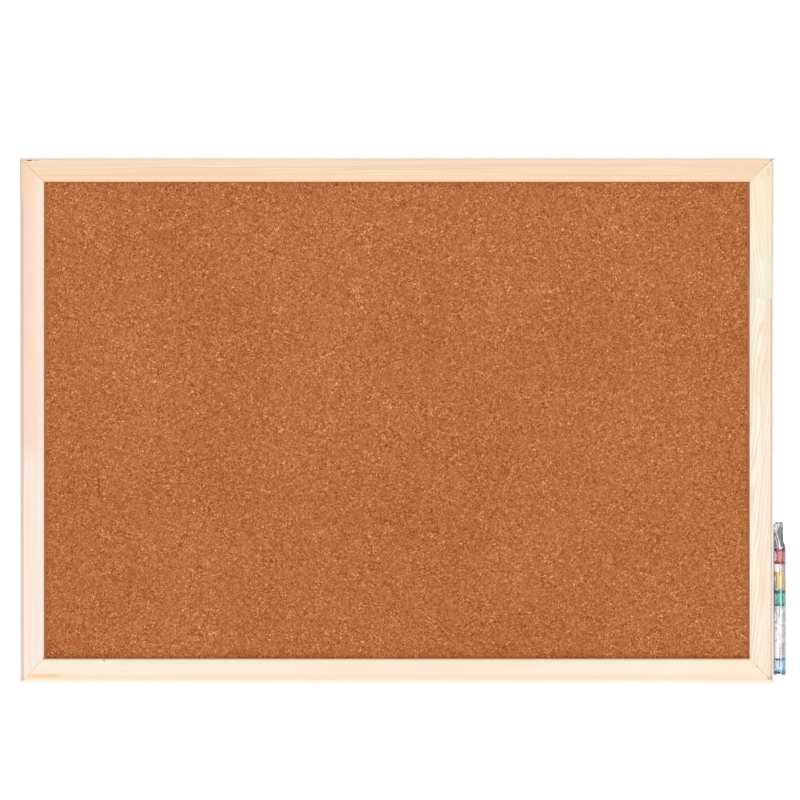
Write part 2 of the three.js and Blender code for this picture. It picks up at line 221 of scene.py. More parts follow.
def linear(channel):
    share = channel / 255
    return share / 12.92 if share <= 0.04045 else ((share + 0.055) / 1.055) ** 2.4


def seen(red, green, blue):
    return tuple(min(1.0, linear(c) / FRONT_LIGHT) for c in (red, green, blue)) + (1.0,)


def begin(name):
    """A new material, and the place on the surface in metres to build it from."""
    material = bpy.data.materials.new(name)
    material.use_nodes = True
    return material, Wire(material.node_tree).node("ShaderNodeTexCoord", output="Object")


def set_shader(material, sockets):
    """Values and links for the sockets of the material's shader."""
    shader = material.node_tree.nodes["Principled BSDF"]
    for name, value in sockets.items():
        if isinstance(value, Wire):
            material.node_tree.links.new(value.socket, shader.inputs[name])
        else:
            shader.inputs[name].default_value = value
    return material


def dress(node, material):
    """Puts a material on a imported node, whose mesh stays as it is."""
    nodes[node].data.materials.clear()
    nodes[node].data.materials.append(material)


print("wood at 253, 235, 213 reflects", [round(c, 2) for c in seen(253, 235, 213)[:3]])

# %% [markdown]
# ## Studio
#
# The board stands on a pale table whose middle glows a little, as a photographer's light
# table does, so that it photographs white. Behind it is a white backdrop, and the ceiling
# is pale. For everything except the camera the rest of the room is a dim grey, darkest to
# the left and right: rounded edges, gloss and clear plastic then have something darker than
# white to mirror, which is what draws their outline.

# %% The room's light
ROOM_LIGHT, CEILING_LIGHT = 0.42, 0.6
CEILING_EDGE, BACKDROP_EDGE = (0.35, 0.8), (0.55, 0.80)
SIDE_DARKENING = 0.85
WHITE = 1.06

scene.world = bpy.data.worlds.new("studio")
scene.world.use_nodes = True
room = Wire(scene.world.node_tree)
by_camera = room.node("ShaderNodeLightPath", output="Is Camera Ray")
sideways, onward, upward = axes(room.node("ShaderNodeTexCoord", output="Generated"))
dim = ROOM_LIGHT * (1 - SIDE_DARKENING * sideways * sideways)
dim = dim + CEILING_LIGHT * step(upward, *CEILING_EDGE)
backdrop = step(onward, *BACKDROP_EDGE)
strength = dim + (WHITE - dim) * largest(by_camera, backdrop)
glow = scene.world.node_tree.nodes["Background"]
scene.world.node_tree.links.new(strength.socket, glow.inputs["Strength"])
glow.inputs["Color"].default_value = (1, 1, 1, 1)


# %% [markdown]
# The main light is broad and soft, from behind the camera and a little above it, so it
# leaves only a hair of shadow under the frame's lip. A narrower one further to the right
# shines on the sleeve of pins, whose long highlight is painted on its film. The third is for
# the hangers, which are seen from behind. All are suns with a wide disc: they don't fade with
# distance, so the far end of the table stays as white as the near.

# %% Three soft lights
def soft_light(name, power, spread, azimuth, elevation):
    light = bpy.data.lights.new(name, "SUN")
    light.energy, light.angle = power, math.radians(spread)
    lamp = bpy.data.objects.new(name, light)
    scene.collection.objects.link(lamp)
    turn, rise = math.radians(azimuth), math.radians(elevation)
    towards = Vector((math.sin(turn) * math.cos(rise), -math.cos(turn) * math.cos(rise), math.sin(rise)))
    lamp.rotation_euler = towards.to_track_quat("Z", "Y").to_euler()


soft_light("key", power=0.95, spread=26, azimuth=4, elevation=7)
soft_light("strip", power=0.55, spread=12, azimuth=24, elevation=3)
soft_light("back_fill", power=0.9, spread=40, azimuth=165, elevation=35)


# %% The table
TABLE_HALF = 9.0
GLOW_EDGE = (0.75, 0.38)
GLOW_WIDENS = 0.14
GLOW_POWER = 0.49


def new_object(name, bm):
    """An object at the origin that takes over the bmesh."""
    mesh = bpy.data.meshes.new(name)
    bm.to_mesh(mesh)
    bm.free()
    made = bpy.data.objects.new(name, mesh)
    scene.collection.objects.link(made)
    return made


def table_finish():
    material, place = begin("table")
    tint = step(grain(place, 3, 3), 0.35, 0.65)
    x, y, _ = axes(place)
    aside = x.math("ABSOLUTE") - GLOW_WIDENS * y
    glowing = mix(step(aside, *GLOW_EDGE), (0.25, 0.25, 0.25, 1), (1, 1, 1, 1))
    sockets = {"Base Color": mix(tint, (0.9, 0.9, 0.9, 1), (0.93, 0.93, 0.93, 1))}
    sockets |= {"Emission Color": glowing, "Emission Strength": GLOW_POWER}
    return set_shader(material, sockets | {"Roughness": 0.8, "Specular IOR Level": 0.1})


bm = bmesh.new()
bmesh.ops.create_grid(bm, x_segments=8, y_segments=8, size=TABLE_HALF)
table = new_object("table", bm)
table.location.z = cad_box[0][2]
table.data.materials.append(table_finish())
table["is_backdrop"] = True
print(f"the table's top is at z {table.location.z:.4f}")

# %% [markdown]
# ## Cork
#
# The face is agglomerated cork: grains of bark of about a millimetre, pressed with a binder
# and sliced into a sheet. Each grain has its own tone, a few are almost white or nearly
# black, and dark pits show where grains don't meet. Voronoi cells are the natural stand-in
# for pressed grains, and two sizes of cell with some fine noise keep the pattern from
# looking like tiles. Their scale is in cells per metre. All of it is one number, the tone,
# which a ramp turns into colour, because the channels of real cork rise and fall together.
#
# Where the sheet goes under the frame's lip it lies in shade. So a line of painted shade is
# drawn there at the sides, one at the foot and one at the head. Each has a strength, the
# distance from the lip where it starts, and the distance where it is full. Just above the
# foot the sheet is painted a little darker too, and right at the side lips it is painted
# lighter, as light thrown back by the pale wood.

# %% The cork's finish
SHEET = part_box("cork_sheet")
COARSE_CELLS, FINE_CELLS = 640, 1180
PALE_CELLS, PIT_CELLS = 330, 310
LIP_OVERLAP = {"X": 5.8 * MM, "Z": 5.1 * MM}
# Painted shade lines under the lip: strength, where each starts and where it is full.
LIP_SHADE_LINES = [(0.42, 1.4 * MM, 0.4 * MM), (0.22, 1.4 * MM, 0.2 * MM), (0.20, 0.7 * MM, 0.1 * MM)]
CORK_TONES = [
    (0.0, seen(108, 40, 4)), (0.25, seen(157, 83, 32)), (0.5, seen(184, 110, 58)),
    (0.75, seen(211, 137, 86)), (1.0, seen(252, 194, 146)),
]


def lip_distance(place):
    """How far a point of the sheet is inside the frame's lip: at the sides, foot and head."""
    x, _, z = axes(place)
    low, high = SHEET
    near = x - (low.x + LIP_OVERLAP["X"])
    far = (high.x - LIP_OVERLAP["X"]) - x
    foot = z - (low.z + LIP_OVERLAP["Z"])
    head = (high.z - LIP_OVERLAP["Z"]) - z
    return near.math("MINIMUM", far), foot, head


def cork_finish():
    material, place = begin("cork")
    wander = stretch(grain(place, 900, 1), (0.6 * MM,) * 3)
    bent = place.vector("ADD", wander)
    coarse = axes(cells(bent, COARSE_CELLS, output="Color"))[0]
    fine = axes(cells(bent, FINE_CELLS, output="Color"))[1]
    speck = grain(place, 2300, 2, 0.6)
    cloud = grain(place, 9, 3)
    lively = 0.915 + 0.27 * step(grain(place, 70, 2), 0.4, 0.62)
    tone = 0.24 * (coarse - 0.5) + 0.52 * (fine - 0.5) + 0.70 * (speck - 0.5)
    pale = step(cells(bent, PALE_CELLS), 0.34, 0.16) * step(fine, 0.5, 0.85)
    pits = step(cells(place, PIT_CELLS), 0.24, 0.08) * step(coarse, 0.55, 0.3)
    seams = step(cells(bent, COARSE_CELLS, "DISTANCE_TO_EDGE"), 0.08, 0.0)
    tone = tone + 0.28 * pale * step(coarse, 0.5, 0.8) - 0.34 * pits - 0.10 * seams
    tone = 0.535 + lively * tone + 0.17 * (cloud - 0.5)
    colour = tone.node("ShaderNodeValToRGB", {"stops": CORK_TONES}, {0: tone}, "Color")
    rosy = step(grain(place, 120, 2), 0.42, 0.62)
    colour = mix(0.10 * rosy, colour, seen(196, 92, 66))
    olive = step(grain(place, 85, 2), 0.5, 0.68)
    colour = mix(0.16 * olive, colour, seen(190, 134, 44))
    side, foot, head = lip_distance(place)
    lines = zip((side, foot, head), LIP_SHADE_LINES)
    # Painted shade: dark lines along the lips, and a little more just above the foot lip.
    lip_shade = largest(*[share * step(off, start, full) for off, (share, start, full) in lines])
    shaded = 0.04 * step(foot, 6 * MM, 0.5 * MM)
    colour = mix(lip_shade + shaded, colour, seen(92, 34, 6))
    # Painted light: the sheet is lighter right at the side lips, as lit by the pale wood.
    colour = mix(0.65 * step(side, 0.7 * MM, 0.2 * MM), colour, seen(222, 162, 122))
    relief = bump(tone, 0.35 * MM, 0.5)
    sockets = {"Base Color": colour, "Roughness": 0.86, "Normal": relief}
    return set_shader(material, sockets | {"Specular IOR Level": 0.12})


dress("cork_sheet", cork_finish())
print("cork sheet", [round(v * 1000) for v in SHEET[1] - SHEET[0]], "mm")

# %% [markdown]
# ## Pine
#
# A bar of pine is a slice out of a tree, and its grain is where the growth rings meet the
# surface. So the finish is a small tree: rings round a heart that lies beside the bar and
# leans a little against it. The same rings carry on over the edges and the mitred ends,
# which a picture of grain laid on each side would not do. No two years are equally wide, so
# a noise along the radius crowds some rings and spreads others.
#
# Each ring is pale early wood that darkens slowly into late wood and ends sharply. Fine
# fibres run along the bar, and a slow drift between two creams goes on top.

# %% The tree inside a bar
WANDER = (7, 38)
YEAR_NOISE = 240


def lengthwise(along, run, across):
    """Scales for a texture that is drawn out along the bar's own axis, per metre."""
    return tuple(run if axis == along else across for axis in "XYZ")


def rings(place, along, heart, lean, width, wobble):
    """Late wood, from 0 to 1, of growth rings round a heart line beside the bar."""
    across = "ZX"[along == "Z"]
    x, y, z = axes(place)
    run, cross = (x, z) if across == "Z" else (z, x)
    drift = grain(stretch(place, lengthwise(along, *WANDER)), 1, 2) - 0.5
    radius = hypotenuse(cross - heart[0] - lean * run, y - heart[1])
    bare = radius.node("ShaderNodeCombineXYZ", None, {0: radius * YEAR_NOISE})
    uneven = 1.6 * width * (grain(bare, 1, 2) - 0.5)
    count = (radius + wobble * drift + uneven) / width
    phase, year = count.math("FRACT"), count.math("FLOOR")
    vigour = year.node("ShaderNodeTexWhiteNoise", {"noise_dimensions": "1D"}, {"W": year})
    late = step(phase, 0.3, 0.9) * step(phase, 1.0, 0.93)
    return late * (0.35 + 0.65 * vigour)


# %% [markdown]
# Small accidents make each bar its own: a streak of pitch, a bruise at a corner, a mitre
# that doesn't quite close. Each is a soft ellipse at a place on the bar, its edge roughened
# with a little noise.

# %% Marks on the wood
MARK_EDGE = (1.15, 0.55)
MARK_NOISE = 1400


def mark(place, centre, size):
    """1 inside an ellipse on the bar's face, 0 outside. Centre and size are (x, z) in mm."""
    shifted = place.vector("SUBTRACT", Vector((centre[0], 0, centre[1])) * MM)
    scaled = stretch(shifted, (1 / (size[0] * MM), 0, 1 / (size[1] * MM)))
    reach = scaled.vector("LENGTH", output="Value")
    ragged = reach + 0.5 * (grain(place, MARK_NOISE, 2) - 0.5)
    return step(ragged, *MARK_EDGE)


# %% The pine's finish
HAIRS, STREAKS, DRIFT = (28, 950), (7, 230), (4, 75)


def pine_finish(name, along, tones, heart, lean, width, wobble, contrast, fibre, edges, marks):
    material, place = begin(name)
    early, late, flush = [seen(*tone) for tone in tones]
    line = rings(place, along, heart, lean, width, wobble)
    hairs = grain(stretch(place, lengthwise(along, *HAIRS)), 1, 3, 0.6)
    streaks = grain(stretch(place, lengthwise(along, *STREAKS)), 1, 3)
    drift = grain(stretch(place, lengthwise(along, *DRIFT)), 1, 2)
    colour = mix(step(drift, 0.42, 0.6) * 0.8, early, flush)
    colour = mix(step(streaks, 0.45, 0.68) * 0.55 * contrast, colour, late)
    colour = mix(line * contrast, colour, late)
    colour = mix(step(hairs, 0.48, 0.75) * fibre, colour, late)
    for where, tint, share in edges:
        colour = mix(share * where(place), colour, seen(*tint))
    for centre, size, tint, share in marks:
        colour = mix(share * mark(place, centre, size), colour, seen(*tint))
    rough = 0.46 + 0.12 * hairs
    relief = bump(hairs * 0.6 - line * 0.4, 0.06 * MM, 0.35)
    sockets = {"Base Color": colour, "Roughness": rough, "Normal": relief}
    return set_shader(material, sockets | {"Specular IOR Level": 0.3})


# %% [markdown]
# ## The bars' shape
#
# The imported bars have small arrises. On the real moulding the outer edge is rounded over
# wide enough to read as a grey line round the frame, and the sight edge, where the
# frame meets the cork, slopes down to the sheet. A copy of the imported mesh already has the
# mitres, the groove and the finger joint, so only its section is changed: every corner
# point is read as a distance inward from the bar's outer edge and a height off its back,
# moved, and put back. Points on a mitre slide along it, and out by a hair, so that the
# joint is as tight as the real one.

# %% A section moved on a copy
HALF_LENGTH = {"rail": 300, "stile": 209}
FACE_WIDTH, BAR_DEPTH = 19, 15
OLD_ROUND, NEW_ROUND = 1.2, 2.3
OLD_SIGHT, NEW_SIGHT = 0.8, 0.4
MITRE_SETBACK = 0.2 / math.sqrt(2)
MITRE_CLOSE = 0.06
LIP_BACK = 12
SIGHT_SLOPE = {"rail": 0.6, "stile": 1.3}
MIDDLE_Z = -199.5
NEAR = 0.01


def resized(inward, forward, edges, old, new):
    """Scales a rounding from its old radius to a new one. Edges say where it begins, in mm inward."""
    depths = BAR_DEPTH - old, BAR_DEPTH - new
    return tuple(b + (v - a) * new / old for v, (a, b) in ((inward, edges), (forward, depths)))


def moved_section(inward, forward, kind):
    """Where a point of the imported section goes, in mm."""
    if inward < OLD_ROUND + NEAR and forward > BAR_DEPTH - OLD_ROUND - NEAR:
        return resized(inward, forward, (OLD_ROUND, NEW_ROUND), OLD_ROUND, NEW_ROUND)
    if inward > FACE_WIDTH - OLD_SIGHT - NEAR and forward > BAR_DEPTH - OLD_SIGHT - NEAR:
        return resized(inward, forward, (FACE_WIDTH - OLD_SIGHT, FACE_WIDTH), OLD_SIGHT, NEW_SIGHT)
    if abs(inward - FACE_WIDTH) < NEAR and forward > LIP_BACK - NEAR:
        climb = (forward - LIP_BACK) / (BAR_DEPTH - NEW_SIGHT - LIP_BACK)
        return FACE_WIDTH + SIGHT_SLOPE[kind] + (NEW_SIGHT - SIGHT_SLOPE[kind]) * climb, forward
    return inward, forward


def move_point(co, kind, sign):
    """A corner point of a bar in mm. Sign is 1 where inward is towards higher x or z."""
    rail = kind == "rail"
    run, cross = (co.x, co.z - MIDDLE_Z) if rail else (co.z - MIDDLE_Z, co.x)
    edge = -sign * HALF_LENGTH["stile" if rail else "rail"]
    inward = (cross - edge) * sign
    new_inward, forward = moved_section(inward, -co.y, kind)
    if abs(abs(run) - (HALF_LENGTH[kind] - inward - MITRE_SETBACK)) < 2 * NEAR:
        run -= math.copysign(new_inward - inward - MITRE_CLOSE, run)
    cross = edge + sign * new_inward
    x, z = (run, cross + MIDDLE_Z) if rail else (cross, run + MIDDLE_Z)
    return Vector((x, -forward, z))


def shaped_bar(node, kind, sign):
    bm = bmesh.new()
    bm.from_mesh(nodes[node].data)
    bmesh.ops.remove_doubles(bm, verts=bm.verts, dist=2e-6)
    bmesh.ops.dissolve_limit(bm, angle_limit=math.radians(1), verts=bm.verts, edges=bm.edges)
    for vert in bm.verts:
        vert.co = move_point(vert.co / MM, kind, sign) * MM
    return bm


# %% [markdown]
# Every piece that is made here is added in one way. `add_piece` gives it a finish, puts it
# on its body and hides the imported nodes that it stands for.

# %% Adding a piece
SMOOTH_BELOW = math.radians(38)


def add_piece(name, bm, material, body, replaced):
    bmesh.ops.recalc_face_normals(bm, faces=bm.faces)
    piece = new_object(name, bm)
    piece.data.materials.append(material)
    piece.data.shade_smooth()
    piece.data.set_sharp_from_angle(angle=SMOOTH_BELOW)
    if body:
        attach(piece, body)
    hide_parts(*replaced)
    return piece


# %% [markdown]
# The five bars come from different boards. The top rail is the warmest, with straight
# fine grain. The left stile is plain, pinker above and paler below, with an orange head.
# The bottom rail is pale and smooth. The right stile is two staves: the upper one is creamy
# with strong grain that runs a little across it, and the lower one is pinker towards its
# outer edge, with fine lines that slant the other way.
#
# A bar's colour is varied along its edges by functions of the place, which four others make.
# `band` wants an axis and two places on it in mm. The other three want an axis, the edge's
# place on it and the sign that points inward. Along the rounded outer edge a bar gets painted
# shade, on the outermost part of that rounding painted light, and on the sloping sight edge
# painted shade mixed with a painted reflection of the cork.

# %% Bands along an edge
RIM_SOFTNESS = (0.8, 1.0)
SIGHT_SOFTNESS = (-0.15, 0.25)


def inward_from(place, axis, edge, sign):
    return (axes(place)["XYZ".index(axis)] - edge * MM) * sign


def band(axis, start, stop):
    """1 at the far side of start to stop."""
    return lambda place: step(axes(place)["XYZ".index(axis)], start * MM, stop * MM)


def rim_shade(axis, edge, sign, start=3.6, stop=1.2):
    """1 along the rounded outer edge of a bar, between two distances from the edge, where it is painted with
    shade.
    """
    def share(place):
        off = inward_from(place, axis, edge, sign)
        line = step(off, start * MM, (start - RIM_SOFTNESS[0]) * MM)
        return line * step(off, stop * MM, (stop + RIM_SOFTNESS[1]) * MM)
    return share


def edge_band(axis, edge, sign, start=1.6, stop=0.3):
    """1 on the outer side of a bar and the start of its rounding, fading out further in."""
    return lambda place: step(inward_from(place, axis, edge, sign), start * MM, stop * MM)


def sight(axis, edge, sign):
    """1 on the sloping sight edge of a bar."""
    return edge_band(axis, edge, sign, *SIGHT_SOFTNESS)


DARK = (96, 66, 48)
GREY_BROWN = (150, 128, 112)
PINK = (247, 214, 198)
# Painted shade for the rounded outer edge and for the sloping sight edge, and painted light for the
# outermost part of the rounding.
EDGE_SHADE = (206, 180, 166)
SIGHT_SHADE = (238, 190, 146)
EDGE_LIGHT = (255, 250, 243)


# %% Five bars, five finishes
def add_bar(name, sign, node_end="", **finish):
    kind = name.split("_")[0]
    node = f"frame_{name}{node_end}"
    material = pine_finish(f"pine_{name}", "X" if kind == "rail" else "Z", **finish)
    add_piece(name, shaped_bar(node, kind, sign), material, "board", [node])


# In each bar the grey on the rounded outer edge is painted shade, the near-white at its outermost part
# painted light, and the brown on the sight edge painted shade; on the bottom rail the millimetre of face
# beside the sight edge is painted shade too.
add_bar(
    "rail_top", -1, tones=[(252, 225, 193), (240, 202, 166), (250, 214, 185)],
    heart=(-0.16, -0.02), lean=0.012, width=2.3 * MM, wobble=6 * MM, contrast=0.75, fibre=0.5,
    edges=[
        (band("Z", 3.0, 6.5), (250, 228, 212), 0.6), (band("Z", -3.8, -4.6), (240, 200, 166), 0.35),
        (band("Z", -5.0, -5.8), (251, 220, 187), 0.7), (band("Z", -7.6, -8.8), (244, 207, 162), 0.9),
        (rim_shade("Z", 9.5, -1, 2.6, 0.4), EDGE_SHADE, 0.10), (edge_band("Z", 9.5, -1), EDGE_LIGHT, 0.9),
        (sight("Z", -9.5, -1), (226, 172, 124), 0.9),
    ],
    marks=[
        ((-292.2, 7.2), (2.9, 0.6), DARK, 0.9), ((-286.5, 7.2), (2.5, 0.4), GREY_BROWN, 0.5),
        ((297.6, 6.9), (1.1, 0.9), DARK, 0.85), ((293.6, 3.7), (0.8, 0.7), GREY_BROWN, 0.6),
        ((289.4, -0.6), (0.7, 0.7), GREY_BROWN, 0.45), ((272, 1), (26, 9), (250, 216, 180), 0.5),
    ])
add_bar(
    "rail_bottom", 1, tones=[(254, 242, 223), (250, 230, 200), (253, 237, 218)],
    heart=(-0.50, 0.03), lean=0.02, width=4.5 * MM, wobble=6 * MM, contrast=0.35, fibre=0.2,
    edges=[
        (band("Z", -400.5, -403.5), (250, 230, 203), 0.8), (band("Z", -405.0, -407.0), (250, 242, 232), 0.9),
        (band("X", 215, 275), (251, 231, 205), 0.5), (band("Z", -391.5, -390.3), (252, 228, 199), 0.6),
        (band("Z", -390.5, -389.5), (222, 180, 144), 0.7), (sight("Z", -389.5, 1), SIGHT_SHADE, 0.8),
    ],
    marks=[
        ((-281.0, -402.6), (17, 1.9), (250, 205, 150), 0.75),
        ((-297.3, -405.3), (1.2, 1.0), GREY_BROWN, 0.6), ((-232.8, -390.6), (0.8, 1.1), DARK, 0.5),
        ((286.6, -395.3), (0.9, 0.6), DARK, 0.7), ((296.6, -404.6), (2.8, 1.6), GREY_BROWN, 0.4),
    ])
add_bar(
    "stile_left", 1, tones=[(252, 238, 227), (246, 220, 198), (251, 231, 217)],
    heart=(-0.62, -0.05), lean=0.02, width=5 * MM, wobble=7 * MM, contrast=0.4, fibre=0.3,
    edges=[
        (band("Z", -236, -214), (250, 216, 194), 0.75), (band("X", -289, -283), (251, 234, 224), 0.5),
        (band("X", -282.5, -281.2), (254, 231, 200), 0.7), (rim_shade("X", -300, 1), EDGE_SHADE, 0.75),
        (edge_band("X", -300, 1), EDGE_LIGHT, 0.9), (sight("X", -281, 1), SIGHT_SHADE, 0.9),
    ],
    marks=[((-297, 6), (14, 36), (250, 217, 186), 0.8)])
add_bar(
    "stile_right_upper", -1, "_stave", tones=[(254, 247, 229), (234, 216, 174), (254, 242, 224)],
    heart=(0.36, -0.03), lean=-0.11, width=2.6 * MM, wobble=12 * MM, contrast=0.75, fibre=0.4,
    edges=[
        (rim_shade("X", 300, -1, 2.9, 0.3), EDGE_SHADE, 0.5), (edge_band("X", 300, -1), EDGE_LIGHT, 0.4),
        (sight("X", 281, -1), (194, 122, 66), 0.9),
    ],
    marks=[
        ((291, 10), (14, 75), (247, 224, 184), 0.5), ((291, -100), (14, 34), (255, 250, 236), 0.45),
        ((299, 8.4), (1.2, 0.8), DARK, 0.6), ((295.5, -2.0), (2.2, 4.0), (226, 206, 158), 0.5),
        ((290.5, -4.6), (1.6, 3.0), (230, 210, 166), 0.4),
    ])
add_bar(
    "stile_right_lower", -1, "_stave", tones=[(254, 246, 230), (238, 216, 182), (254, 241, 228)],
    heart=(0.40, -0.03), lean=0.09, width=2.7 * MM, wobble=20 * MM, contrast=1.0, fibre=0.5,
    edges=[
        (band("X", 288.5, 290.5), PINK, 0.2), (rim_shade("X", 300, -1, 3.0, 1.1), (196, 172, 160), 0.95),
        (edge_band("X", 300, -1, 2.0, 0.9), EDGE_LIGHT, 0.9), (sight("X", 281, -1), SIGHT_SHADE, 0.9),
    ],
    marks=[
        ((297.3, -404.2), (2.2, 1.2), GREY_BROWN, 0.45), ((297.0, -372), (1.4, 9), (252, 214, 176), 0.6),
    ])
print("pine on", sum(n.startswith("frame_") for n in nodes), "bars")

# %% [markdown]
# ## The panel's other sheets
#
# Behind the cork is softboard, a felt of wood fibre that takes a pin and holds it. Behind
# that is hardboard. It is pressed wet against a wire screen, so its back carries the
# print of a fine weave, drawn here as two crossed waves.

# %% Softboard and hardboard
SCREEN_PITCH = 1.1 * MM


def softboard_finish():
    material, place = begin("softboard")
    felt = grain(place, 700, 4, 0.7)
    colour = mix(step(felt, 0.3, 0.7), seen(150, 118, 82), seen(190, 160, 120))
    sockets = {"Base Color": colour, "Roughness": 0.95, "Normal": bump(felt, 0.4 * MM, 0.6)}
    return set_shader(material, sockets)


def hardboard_finish():
    material, place = begin("hardboard")
    x, _, z = axes(place)
    pitch = 2 * math.pi / SCREEN_PITCH
    weave = (x * pitch).math("SINE") * (z * pitch).math("SINE")
    fibres = grain(stretch(place, (1, 1, 2.2)), 420, 5, 0.75)
    blotch = grain(place, 18, 3)
    base = mix(step(blotch, 0.3, 0.7), seen(150, 108, 72), seen(157, 114, 77))
    colour = mix(step(fibres, 0.45, 0.75) * 0.7, base, seen(98, 64, 38))
    colour = mix(step(weave, 0.3, 1.0) * 0.25, colour, seen(186, 146, 104))
    relief = bump(weave * 0.5 + fibres * 0.5, 0.12 * MM, 0.7)
    sockets = {"Base Color": colour, "Roughness": 0.62 + 0.2 * fibres, "Normal": relief}
    return set_shader(material, sockets)


dress("softboard_core", softboard_finish())
dress("backing_sheet", hardboard_finish())


# %% [markdown]
# ## Plated steel
#
# The hangers and the V-nails are zinc plated: a bluish grey metal with a faint crystalline
# mottle, duller where it was handled. The V-nails stay as the frame has them, since only
# the thin edge of each shows in the back of a mitre.

# %% Plated steel
ZINC, DULL_ZINC = (0.62, 0.64, 0.66, 1), (0.3844, 0.3968, 0.4092, 1)
SPANGLE_CELLS = 900


def steel_finish():
    material, place = begin("plated_steel")
    spangle = axes(cells(place, SPANGLE_CELLS, output="Color"))[0]
    rub = grain(place, 260, 4, 0.7)
    colour = mix(0.35 * spangle + 0.4 * step(rub, 0.5, 0.75), ZINC, DULL_ZINC)
    sockets = {"Base Color": colour, "Metallic": 1.0, "Normal": bump(rub, 0.02 * MM, 0.3)}
    return set_shader(material, sockets | {"Roughness": 0.24 + 0.12 * rub})


plated = steel_finish()
v_nails = [n for n in nodes if n.startswith("v_nail_")]
for name in v_nails:
    dress(name, plated)
print("plated steel on", len(v_nails), "V-nails")

# %% [markdown]
# ## Making small pieces again
#
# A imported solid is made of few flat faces. The small parts that the eye goes to are made
# again with more of them, in the same place and to the same sizes. Each is a mesh written
# out in metres with its object at the origin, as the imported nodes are.
#
# Most of them are skins stretched over a row of rings of points: a pin is turned from
# circles, a wire is circles along a path, and the sleeve is squared ovals. One helper
# covers them all. It closes each end with a point in the middle.

# %% A skin over rings
def skin(rows, capped=True):
    """A closed bmesh through rows of points, all of one length."""
    bm = bmesh.new()
    made = [[bm.verts.new(p) for p in row] for row in rows]
    for row, after in zip(made, made[1:]):
        for i in range(len(row)):
            j = (i + 1) % len(row)
            bm.faces.new((row[i], row[j], after[j], after[i]))
    if capped:
        for row in (made[0], made[-1]):
            middle = bm.verts.new(sum((v.co for v in row), Vector()) / len(row))
            for i in range(len(row)):
                bm.faces.new((row[i], row[(i + 1) % len(row)], middle))
    return bm


def rounded(points, times=2):
    """Cuts the corners of an open line of points, which rounds it and keeps its ends."""
    for _ in range(times):
        cut = [points[0]]
        for a, b in zip(points, points[1:]):
            cut.append(tuple(0.75 * p + 0.25 * q for p, q in zip(a, b)))
            cut.append(tuple(0.25 * p + 0.75 * q for p, q in zip(a, b)))
        points = cut + [points[-1]]
    return points


def circle(radii, height, place):
    """Points round an axis at one height in mm, each at its own radius. Place is a matrix."""
    turns = [2 * math.pi * k / len(radii) for k in range(len(radii))]
    points = [(r * math.cos(a), r * math.sin(a), height) for r, a in zip(radii, turns)]
    return [place @ (Vector(point) * MM) for point in points]


def turned(profile, sides, place):
    """A solid of revolution from (radius, height) pairs in mm."""
    return skin([circle([radius] * sides, height, place) for radius, height in profile])


# %% [markdown]
# ## Ring hangers
#
# The ring is bent from round wire: a circle carried along the ring's path. Its two ends
# meet in a butt joint that the strap hides, with a thin gap left between them.

# %% The rings
HANGER_X = 290.5
RING_AXIS = (2.1, -50.5)
WIRE_RADIUS = 0.9
RING_HALF = 6.65
RING_CORNER = 1.6
RING_STRAIGHT = 6.5
RING_GAP = 0.06


def arc(centre, radius, start, stop, steps):
    angles = [math.radians(start + (stop - start) * i / steps) for i in range(steps + 1)]
    return [(centre[0] + radius * math.cos(a), centre[1] + radius * math.sin(a)) for a in angles]


def ring_path():
    flat = RING_HALF - RING_CORNER
    return [
        (RING_GAP, 0), *arc((flat, -RING_CORNER), RING_CORNER, 90, 0, 8),
        *arc((0, -RING_STRAIGHT), RING_HALF, 0, -180, 44),
        *arc((-flat, -RING_CORNER), RING_CORNER, 180, 90, 8), (-RING_GAP, 0),
    ]


def direction(line, i):
    """Which way a flat line of points runs at one of them."""
    before, after = line[max(i - 1, 0)], line[min(i + 1, len(line) - 1)]
    return (Vector(after) - Vector(before)).normalized()


def wire(path, x, sides=18):
    rows = []
    for i, (across, up) in enumerate(path):
        along = direction(path, i)
        row = []
        for k in range(sides):
            turn = 2 * math.pi * k / sides
            out, back = WIRE_RADIUS * math.cos(turn), WIRE_RADIUS * math.sin(turn)
            point = (x + across - along.y * out, RING_AXIS[0] + back, RING_AXIS[1] + up + along.x * out)
            row.append(Vector(point) * MM)
        rows.append(row)
    return skin(rows)


SIDES = {"left": -HANGER_X, "right": HANGER_X}
for side, x in SIDES.items():
    ring = wire(ring_path(), x)
    add_piece(f"ring_{side}", ring, plated, f"ring_{side}", [f"hanger_ring_{side}"])

# %% [markdown]
# The strap is a strip of sheet steel folded round the ring's straight side, with both ends
# rounded and punched for the screw. It follows a line seen from the side, and its width
# narrows to a half circle below the hole. The hole is cut by a Boolean modifier and the
# edges are broken by a Bevel modifier, both applied at once by reading the mesh back from
# Blender's evaluated copy.

# %% The straps
STRAP_HALF = 4.5
STRAP_THICKNESS = 0.8
STRAP_END = -11.5
SCREW_DROP = 7
LOWER_LAYER, UPPER_LAYER = 0.5, 1.4
LOOP_RADIUS = 1.6
END_STEPS = (0, 0.01, 0.05, 0.12, 0.25, 0.45, 0.7, 1)


def strap_line():
    """The strap's middle line as (up, back) from the ring's axis, from end to end."""
    loop = arc((0, RING_AXIS[0]), LOOP_RADIUS, -90, 135, 22)
    leave_up, leave_back = loop[-1]
    knee = (leave_up - (leave_back - UPPER_LAYER), UPPER_LAYER)
    heights = [STRAP_END + STRAP_HALF * share for share in END_STEPS]
    tail = [(h, LOWER_LAYER) for h in heights]
    bend = rounded([loop[-1], knee, (knee[0] - 1.2, UPPER_LAYER)], 3)
    return tail + loop[:-1] + bend + [(h, UPPER_LAYER) for h in reversed(heights)]


